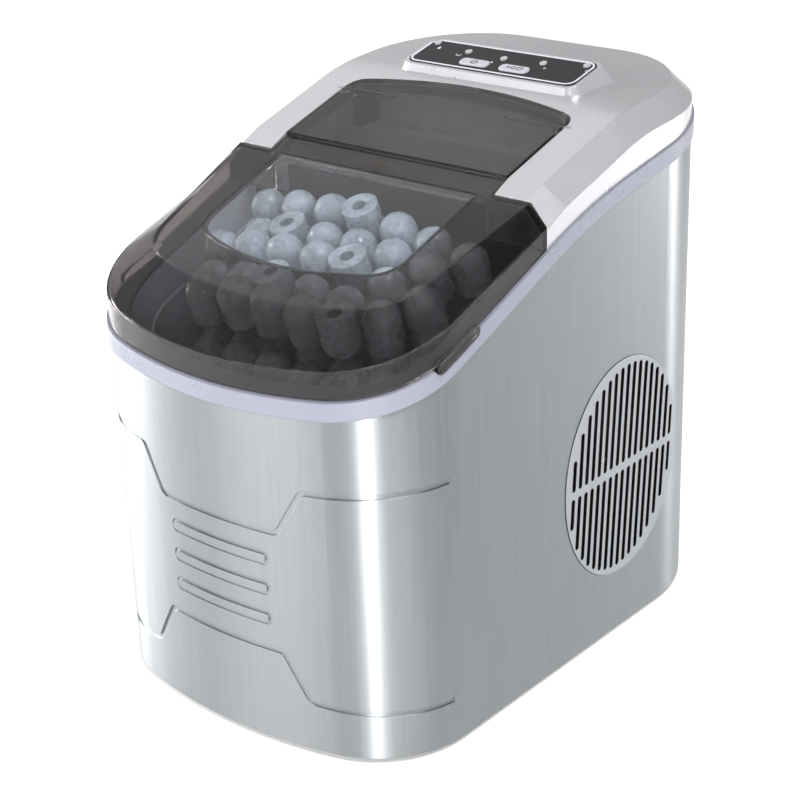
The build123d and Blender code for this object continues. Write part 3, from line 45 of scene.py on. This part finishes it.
# ---- materials ----------------------------------------------------------------------------------
class Shader:
    """A material with one Principled shader, and short calls for the nodes that vary it."""

    def __init__(self, name, colour, **sockets):
        self.material = bpy.data.materials.new(name)
        self.material.use_nodes = True
        self.tree = self.material.node_tree
        self.principled = self.tree.nodes["Principled BSDF"]
        self.set("Base Color", (*colour, 1.0))
        self.colour = colour
        for socket, value in sockets.items():
            self.set(socket.replace("_", " "), value)
        self.coords = self.tree.nodes.new("ShaderNodeTexCoord").outputs["Object"]
        self.normal = None

    def set(self, socket, value):
        found = {s.name.lower(): s for s in self.principled.inputs}
        found[socket.lower()].default_value = value

    def link(self, source, target):
        self.tree.links.new(source, target)

    def stretched(self, scale):
        """Object coordinates, scaled per axis."""
        mapping = self.tree.nodes.new("ShaderNodeMapping")
        mapping.inputs["Scale"].default_value = scale
        self.link(self.coords, mapping.inputs["Vector"])
        return mapping.outputs["Vector"]

    def noise(self, scale, detail=3.0, stretch=(1, 1, 1)):
        node = self.tree.nodes.new("ShaderNodeTexNoise")
        node.inputs["Scale"].default_value = scale
        node.inputs["Detail"].default_value = detail
        self.link(self.stretched(stretch), node.inputs["Vector"])
        return node.outputs["Fac"]

    def ramp(self, source, low, high, from_low=0.3, from_high=0.7):
        """source between from_low and from_high becomes low to high."""
        node = self.tree.nodes.new("ShaderNodeMapRange")
        node.inputs["From Min"].default_value = from_low
        node.inputs["From Max"].default_value = from_high
        node.inputs["To Min"].default_value = low
        node.inputs["To Max"].default_value = high
        self.link(source, node.inputs["Value"])
        return node.outputs["Result"]

    def vary_colour(self, source, dark, light):
        """The base colour goes from dark to light times itself as source goes from 0.3 to 0.7."""
        mix = self.tree.nodes.new("ShaderNodeMix")
        mix.data_type = "RGBA"
        mix.inputs["A"].default_value = (*[c * dark for c in self.colour], 1.0)
        mix.inputs["B"].default_value = (*[min(1.0, c * light) for c in self.colour], 1.0)
        self.link(self.ramp(source, 0.0, 1.0), mix.inputs["Factor"])
        self.link(mix.outputs["Result"], self.principled.inputs["Base Color"])

    def vary_roughness(self, source, low, high):
        self.link(self.ramp(source, low, high), self.principled.inputs["Roughness"])

    def use_normal(self, node):
        """The node's normal goes to the surface and to any bump made later."""
        self.normal = node.outputs["Normal"]
        self.link(self.normal, self.principled.inputs["Normal"])

    def rounded(self, radius):
        """Edges shade as if rounded to this radius."""
        node = self.tree.nodes.new("ShaderNodeBevel")
        node.samples = 4
        node.inputs["Radius"].default_value = radius
        self.use_normal(node)

    def bump(self, source, depth):
        """A height of depth metres, added over any bump made before."""
        node = self.tree.nodes.new("ShaderNodeBump")
        node.inputs["Strength"].default_value = 1.0
        node.inputs["Distance"].default_value = depth
        self.link(source, node.inputs["Height"])
        if self.normal:
            self.link(self.normal, node.inputs["Normal"])
        self.use_normal(node)


def silver_sheet():
    """Silver-coated steel sheet with a fine upright brushing."""
    upright = 0.25  # quarter of a turn from the level tangent
    colour = (0.29, 0.302, 0.308)
    s = Shader("silver_finish", colour, Metallic=0.95, Anisotropic=0.9, Anisotropic_Rotation=upright)
    tangent = s.tree.nodes.new("ShaderNodeTangent")
    tangent.direction_type = "RADIAL"
    tangent.axis = "Z"
    s.link(tangent.outputs["Tangent"], s.principled.inputs["Tangent"])
    s.rounded(0.6 * MM)
    brushing = s.noise(900.0, 4.0, (1, 1, 0.02))  # fine across, long upright
    s.vary_colour(s.noise(420.0, 4.0, (1, 1, 0.02)), 0.97, 1.03)
    s.vary_roughness(brushing, 0.36, 0.44)
    s.bump(brushing, 0.00001)
    return s


def silver_plastic(name, colour, metallic=0.6, roughness=0.33):
    """Silver-painted plastic: fine flake and a faint orange peel."""
    s = Shader(name, colour, Metallic=metallic, Roughness=roughness, Coat_Weight=0.3, Coat_Roughness=0.12)
    s.rounded(0.8 * MM)
    s.vary_colour(s.noise(4000.0, 1.0), 0.95, 1.05)
    s.vary_roughness(s.noise(30.0, 2.0), roughness - 0.03, roughness + 0.04)
    s.bump(s.noise(500.0, 1.0), 0.000002)
    return s


def silver_grille():
    """The same paint on a plate, with painted shade in the slots: faces that do not face sideways, the
    slot walls, turn near black.
    """
    s = silver_plastic("silver_grille", (0.30, 0.31, 0.325), 0.5, 0.38)
    geometry = s.tree.nodes.new("ShaderNodeNewGeometry").outputs["True Normal"]
    split = s.tree.nodes.new("ShaderNodeSeparateXYZ")
    s.link(geometry, split.inputs["Vector"])
    sideways = s.tree.nodes.new("ShaderNodeMath")
    sideways.operation = "ABSOLUTE"
    s.link(split.outputs["X"], sideways.inputs[0])
    painted = s.principled.inputs["Base Color"].links[0].from_socket
    # painted shade: slot walls get a near-black colour that stands for the shade inside the slots
    mix = s.tree.nodes.new("ShaderNodeMix")
    mix.data_type = "RGBA"
    mix.inputs["A"].default_value = (0.004, 0.004, 0.004, 1.0)
    s.link(s.ramp(sideways.outputs["Value"], 0.0, 1.0, 0.45, 0.75), mix.inputs["Factor"])
    s.link(painted, mix.inputs["B"])
    s.link(mix.outputs["Result"], s.principled.inputs["Base Color"])
    return s


def moulded(name, colour, roughness, grain=1200.0, depth=0.00001, edge=0.0, **sockets):
    """Moulded plastic or rubber with a fine grain and slow tone changes."""
    s = Shader(name, colour, Roughness=roughness, **sockets)
    if edge:
        s.rounded(edge)
    s.vary_colour(s.noise(18.0, 3.0), 0.96, 1.04)
    s.vary_roughness(s.noise(60.0, 3.0), roughness - 0.04, roughness + 0.05)
    s.bump(s.noise(grain, 2.0), depth)
    return s


def bare_metal(name, colour, roughness, stretch=(1, 1, 1)):
    """Plain or plated metal with drawn streaks and slight tarnish."""
    s = Shader(name, colour, Metallic=1.0, Roughness=roughness)
    streaks = s.noise(700.0, 4.0, stretch)
    s.vary_colour(s.noise(40.0, 3.0), 0.90, 1.05)
    s.vary_roughness(streaks, max(0.03, roughness - 0.07), roughness + 0.10)
    s.bump(streaks, 0.000006)
    return s


def see_through(name, colour, roughness, edge):
    """Clear or smoked moulded sheet, with edges rounded enough to catch the light."""
    s = Shader(name, colour, Roughness=roughness, Transmission_Weight=1.0, IOR=1.36)
    s.rounded(edge)
    s.vary_roughness(s.noise(25.0, 2.0), roughness, roughness + 0.02)
    return s


def frosted_ice():
    """Cloudy ice: milky core, wet surface, small ripples."""
    s = Shader(
        "ice",
        (0.44, 0.50, 0.57),
        Roughness=0.30,
        Transmission_Weight=0.15,
        IOR=1.31,
        Coat_Weight=0.5,
        Coat_Roughness=0.12,
    )
    s.rounded(1.2 * MM)
    s.vary_colour(s.noise(70.0, 4.0), 0.70, 1.25)
    s.vary_roughness(s.noise(160.0, 2.0), 0.16, 0.45)
    s.bump(s.noise(180.0, 2.0), 0.0008)
    return s


SHADERS = {
    "silver_finish": silver_sheet,
    "silver_top": lambda: silver_plastic("silver_top", (0.52, 0.51, 0.53), 0.6, 0.28),
    "silver_grille": silver_grille,
    "trim_plastic": lambda: moulded("trim_plastic", (0.21, 0.215, 0.265), 0.30, 600.0, edge=0.8 * MM),
    "smoked_plastic": lambda: see_through("smoked_plastic", (0.33, 0.305, 0.30), 0.02, 1.2 * MM),
    "clear_window": lambda: see_through("clear_window", (0.90, 0.92, 0.94), 0.01, 0.4 * MM),
    "label_black": lambda: moulded("label_black", (0.013, 0.010, 0.012), 0.14, 800.0, 0.000004, IOR=1.2),
    "button_grey": lambda: moulded("button_grey", (0.42, 0.42, 0.465), 0.38, edge=0.3 * MM),
    "lens_grey": lambda: moulded("lens_grey", (0.36, 0.345, 0.37), 0.22, Coat_Weight=0.2),
    "board_green": lambda: moulded("board_green", (0.02, 0.13, 0.05), 0.42),
    "black_rubber": lambda: moulded("black_rubber", (0.02, 0.02, 0.02), 0.72, 900.0, 0.00003),
    "zinc_steel": lambda: bare_metal("zinc_steel", (0.62, 0.62, 0.60), 0.32, (1, 0.1, 1)),
    "white_plastic": lambda: moulded("white_plastic", (0.72, 0.74, 0.76), 0.42, edge=0.3 * MM),
    "white_float": lambda: moulded("white_float", (0.78, 0.78, 0.76), 0.62, 700.0, 0.00004),
    "light_liner": lambda: moulded("light_liner", (0.80, 0.84, 0.93), 0.30, 400.0),
    "foam": lambda: moulded("foam", (0.72, 0.64, 0.46), 0.85, 500.0, 0.0002),
    "clear_basket": lambda: moulded("clear_basket", (0.66, 0.71, 0.80), 0.25, 500.0, Coat_Weight=0.3),
    "ice": frosted_ice,
    "nickel_plate": lambda: bare_metal("nickel_plate", (0.70, 0.69, 0.66), 0.14),
    "dark_plastic": lambda: moulded("dark_plastic", (0.012, 0.012, 0.014), 0.48),
    "cap_grey": lambda: moulded("cap_grey", (0.40, 0.41, 0.43), 0.42, edge=0.3 * MM),
    "fan_plastic": lambda: moulded("fan_plastic", (0.02, 0.02, 0.022), 0.55, 900.0),
    "black_enamel": lambda: moulded("black_enamel", (0.012, 0.012, 0.014), 0.26, 300.0, 0.00003),
    "copper": lambda: bare_metal("copper", (0.72, 0.36, 0.22), 0.26),
    "fin_aluminium": lambda: bare_metal("fin_aluminium", (0.74, 0.75, 0.76), 0.30, (1, 1, 0.05)),
    "clear_hose": lambda: moulded("clear_hose", (0.70, 0.74, 0.76), 0.32, Transmission_Weight=0.4),
    "motor_steel": lambda: bare_metal("motor_steel", (0.50, 0.51, 0.52), 0.30),
}

made = {}
for node, slot in slot_of.items():
    if slot not in made:
        made[slot] = SHADERS[slot]().material
    nodes[node].data.materials.clear()
    nodes[node].data.materials.append(made[slot])


# ---- control panel ------------------------------------------------------------------------------
class Panel:
    """A flat sloping top face of a CAD node, with its own across, along and up directions."""

    def __init__(self, node):
        mesh = nodes[node].data
        face = max(mesh.polygons, key=lambda p: p.area * (p.normal.z > 0.8))
        self.up = face.normal.normalized()
        self.across = Vector((1, 0, 0))
        self.along = self.up.cross(self.across).normalized()
        self.height = max(self.up.dot(v.co) for v in mesh.vertices)
        top = [v.co for v in mesh.vertices if self.up.dot(v.co) > self.height - 0.1 * MM]
        self.middle_u, self.half_u = self.spread(self.across, top)
        self.middle_v, self.half_v = self.spread(self.along, top)

    @staticmethod
    def spread(direction, points):
        values = [direction.dot(p) for p in points]
        return (min(values) + max(values)) / 2, (max(values) - min(values)) / 2

    def point(self, u, v, lift=0.0):
        flat = self.across * (self.middle_u + u) + self.along * (self.middle_v + v)
        return flat + self.up * (self.height + lift)


PRINT_LIFT = 0.03 * MM
PRINT_THICK = 0.12 * MM


def printed(name, panel, faces, body, material):
    """Thin raised print: each face is a list of (u, v) corners on the panel."""
    build = bmesh.new()
    for corners in faces:
        low = [build.verts.new(panel.point(u, v, PRINT_LIFT)) for u, v in corners]
        high = [build.verts.new(panel.point(u, v, PRINT_LIFT + PRINT_THICK)) for u, v in corners]
        build.faces.new(high)
        build.faces.new(low[::-1])
        for i in range(len(corners)):
            j = (i + 1) % len(corners)
            build.faces.new((low[i], low[j], high[j], high[i]))
    bmesh.ops.recalc_face_normals(build, faces=build.faces)
    mesh = bpy.data.meshes.new(name)
    build.to_mesh(mesh)
    build.free()
    mesh.materials.append(material)
    thing = bpy.data.objects.new(name, mesh)
    bpy.context.scene.collection.objects.link(thing)
    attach(thing, body)


def arc(centre, radius, start, end, steps=20):
    """Points of an arc, angles in degrees."""
    turns = [math.radians(start + (end - start) * i / steps) for i in range(steps + 1)]
    return [(centre[0] + radius * math.cos(t), centre[1] + radius * math.sin(t)) for t in turns]


def stroke(points, thick):
    """Four-cornered faces along an open line of points."""
    faces = []
    for (x0, y0), (x1, y1) in zip(points[:-1], points[1:]):
        run = math.hypot(x1 - x0, y1 - y0)
        nx, ny = -(y1 - y0) / run * thick / 2, (x1 - x0) / run * thick / 2
        faces.append([(x0 + nx, y0 + ny), (x0 - nx, y0 - ny), (x1 - nx, y1 - ny), (x1 + nx, y1 + ny)])
    return faces


def rounded_frame(half_u, half_v, corner, thick):
    """Strip along a rounded rectangle's outline."""
    points = []
    for cx, cy, start in (
        (half_u - corner, half_v - corner, 0),
        (corner - half_u, half_v - corner, 90),
        (corner - half_u, corner - half_v, 180),
        (half_u - corner, corner - half_v, 270),
    ):
        points += arc((cx, cy), corner, start, start + 90, 8)
    return stroke(points + points[:1], thick)


def at(faces, u, v):
    """The same faces, moved along the panel."""
    return [[(x + u, y + v) for x, y in face] for face in faces]


def ring(radius, thick, steps):
    return stroke(arc((0, 0), radius, 0, 360, steps), thick)


def label_signs():
    """A sign by each light: water drop, full basket, dot, small ring and large ring."""
    line = 0.35 * MM
    drop = [(0, 2.2 * MM), *arc((0, 0), 1.1 * MM, 20, -200, 12)]
    basket_side = [(-1.6 * MM, 1.2 * MM), (-1.3 * MM, -1 * MM), (1.3 * MM, -1 * MM), (1.6 * MM, 1.2 * MM)]
    dot = arc((0, 0), 0.9 * MM, 0, 345, 14)
    placed = (
        ([drop], -51.4, 4.4),
        (stroke(basket_side, line), -32.7, -0.1),
        ([dot], -5.0, -3.0),
        (ring(0.7 * MM, line, 12), 32.7, -0.1),
        (ring(1.3 * MM, line, 16), 60.8, 4.4),
    )
    faces = []
    for sign, u, v in placed:
        faces += at(sign, u * MM, v * MM)
    return faces


def power_sign():
    """An open ring with an upright bar in its gap."""
    thick = 0.6 * MM
    drop = -0.3 * MM
    faces = stroke(arc((0, 0), 2.0 * MM, 125, 415, 24), thick)
    faces += stroke([(0, 0.6 * MM), (0, 2.7 * MM)], thick)
    return at(faces, 0, drop)


def size_signs():
    """Three rings that grow to the right, for the ice sizes."""
    faces = []
    for u, radius in ((-4.2, 0.8), (-0.6, 1.3), (4.2, 1.9)):
        faces += at(ring(radius * MM, 0.45 * MM, 20), u * MM, 0)
    return faces


def panel_print():
    """Border and generic signs on the label and the buttons; the pale border stands for the pod's raised
    silver rim and is partly a painted highlight on it.
    """
    pale = moulded("print_and_rim_highlight_pale", (0.62, 0.61, 0.66), 0.35).material
    dark = moulded("print_dark", (0.03, 0.03, 0.035), 0.45).material
    label = Panel("control_label")
    inset = 1.0 * MM
    # partly painted highlight: a pale strip inset along the label's edge stands for the raised silver rim
    # and the light it catches
    rim_and_highlight = rounded_frame(label.half_u - inset, label.half_v - inset, 6 * MM, 1.3 * MM)
    printed("label_rim_and_highlight", label, rim_and_highlight, "casing", pale)
    printed("label_signs", label, label_signs(), "casing", pale)
    printed("power_sign", Panel("on_off_button"), power_sign(), "on_off", dark)
    printed("size_signs", Panel("select_button"), size_signs(), "select", dark)


panel_print()


# ---- floor, light and camera --------------------------------------------------------------------
def plain(name, colour, roughness):
    """Matt surface with a barely visible change of tone."""
    s = Shader(name, colour, Roughness=roughness)
    s.vary_colour(s.noise(3.0, 2.0), 0.99, 1.01)
    return s.material


def floor():
    size = 40.0  # far past the camera's view
    mesh = bpy.data.meshes.new("floor")
    corners = [(x, y, 0.0) for x, y in ((-size, -size), (size, -size), (size, size), (-size, size))]
    mesh.from_pydata(corners, [], [(0, 1, 2, 3)])
    thing = bpy.data.objects.new("floor", mesh)
    mesh.materials.append(plain("floor", (0.90, 0.90, 0.905), 0.8))
    bpy.context.scene.collection.objects.link(thing)


LIGHT_TARGET = Vector((0.0, 0.0, 0.17))  # the middle of the casing


def area_light(name, place, size, power):
    """Soft box that faces the machine, with its width and height in metres and its power in watts."""
    data = bpy.data.lights.new(name, "AREA")
    data.shape = "RECTANGLE"
    data.size, data.size_y = size
    data.energy = power
    lamp = bpy.data.objects.new(name, data)
    lamp.location = place
    direction = LIGHT_TARGET - Vector(place)
    lamp.rotation_euler = direction.to_track_quat("-Z", "Y").to_euler()
    bpy.context.scene.collection.objects.link(lamp)


def camera():
    """Long lens on the right of the front, looking down at the machine."""
    azimuth, elevation, roll = (math.radians(v) for v in (40.293, 23.208, -1.867))
    back = Vector(
        (
            math.sin(azimuth) * math.cos(elevation),
            -math.cos(azimuth) * math.cos(elevation),
            math.sin(elevation),
        )
    )
    right = Vector((math.cos(azimuth), math.sin(azimuth), 0.0))
    up = back.cross(right)
    turned_right = right * math.cos(roll) + up * math.sin(roll)
    turned_up = up * math.cos(roll) - right * math.sin(roll)
    data = bpy.data.cameras.new("camera")
    data.sensor_width = 36.0
    data.lens = 87.30
    thing = bpy.data.objects.new("camera", data)
    place = Matrix((turned_right, turned_up, back)).transposed().to_4x4()
    place.translation = (0.702534, -0.843622, 0.613565)
    thing.matrix_world = place
    bpy.context.scene.collection.objects.link(thing)
    bpy.context.scene.camera = thing


def sun(place, power, spread):
    """Even light from the direction of place, spread over an angle in degrees."""
    data = bpy.data.lights.new("sun", "SUN")
    data.energy = power
    data.angle = math.radians(spread)
    lamp = bpy.data.objects.new("sun", data)
    lamp.rotation_euler = (-Vector(place)).to_track_quat("-Z", "Y").to_euler()
    bpy.context.scene.collection.objects.link(lamp)


def light():
    """Pale surroundings, one high soft sun and five soft boxes."""
    world = bpy.data.worlds.new("studio")
    bpy.context.scene.world = world
    world.use_nodes = True
    background = world.node_tree.nodes["Background"]
    background.inputs["Color"].default_value = (0.97, 0.98, 1.0, 1.0)
    background.inputs["Strength"].default_value = 0.42
    sun((0.45, -0.1, 1.0), 2.2, 25.0)
    area_light("left_key", (-1.9, -0.55, 0.5), (0.9, 1.2), 52.0)
    area_light("front_fill", (-0.75, -1.9, 0.6), (0.9, 0.9), 13.0)
    area_light("front_strip", (0.93, -1.36, 0.45), (0.20, 1.0), 26.0)
    area_light("rear_strip", (0.7, 1.25, 0.3), (0.14, 0.8), 6.0)
    area_light("back", (-1.4, 0.9, 1.7), (1.4, 1.4), 3.0)


floor()
light()
camera()
bpy.context.scene.view_settings.view_transform = "Standard"
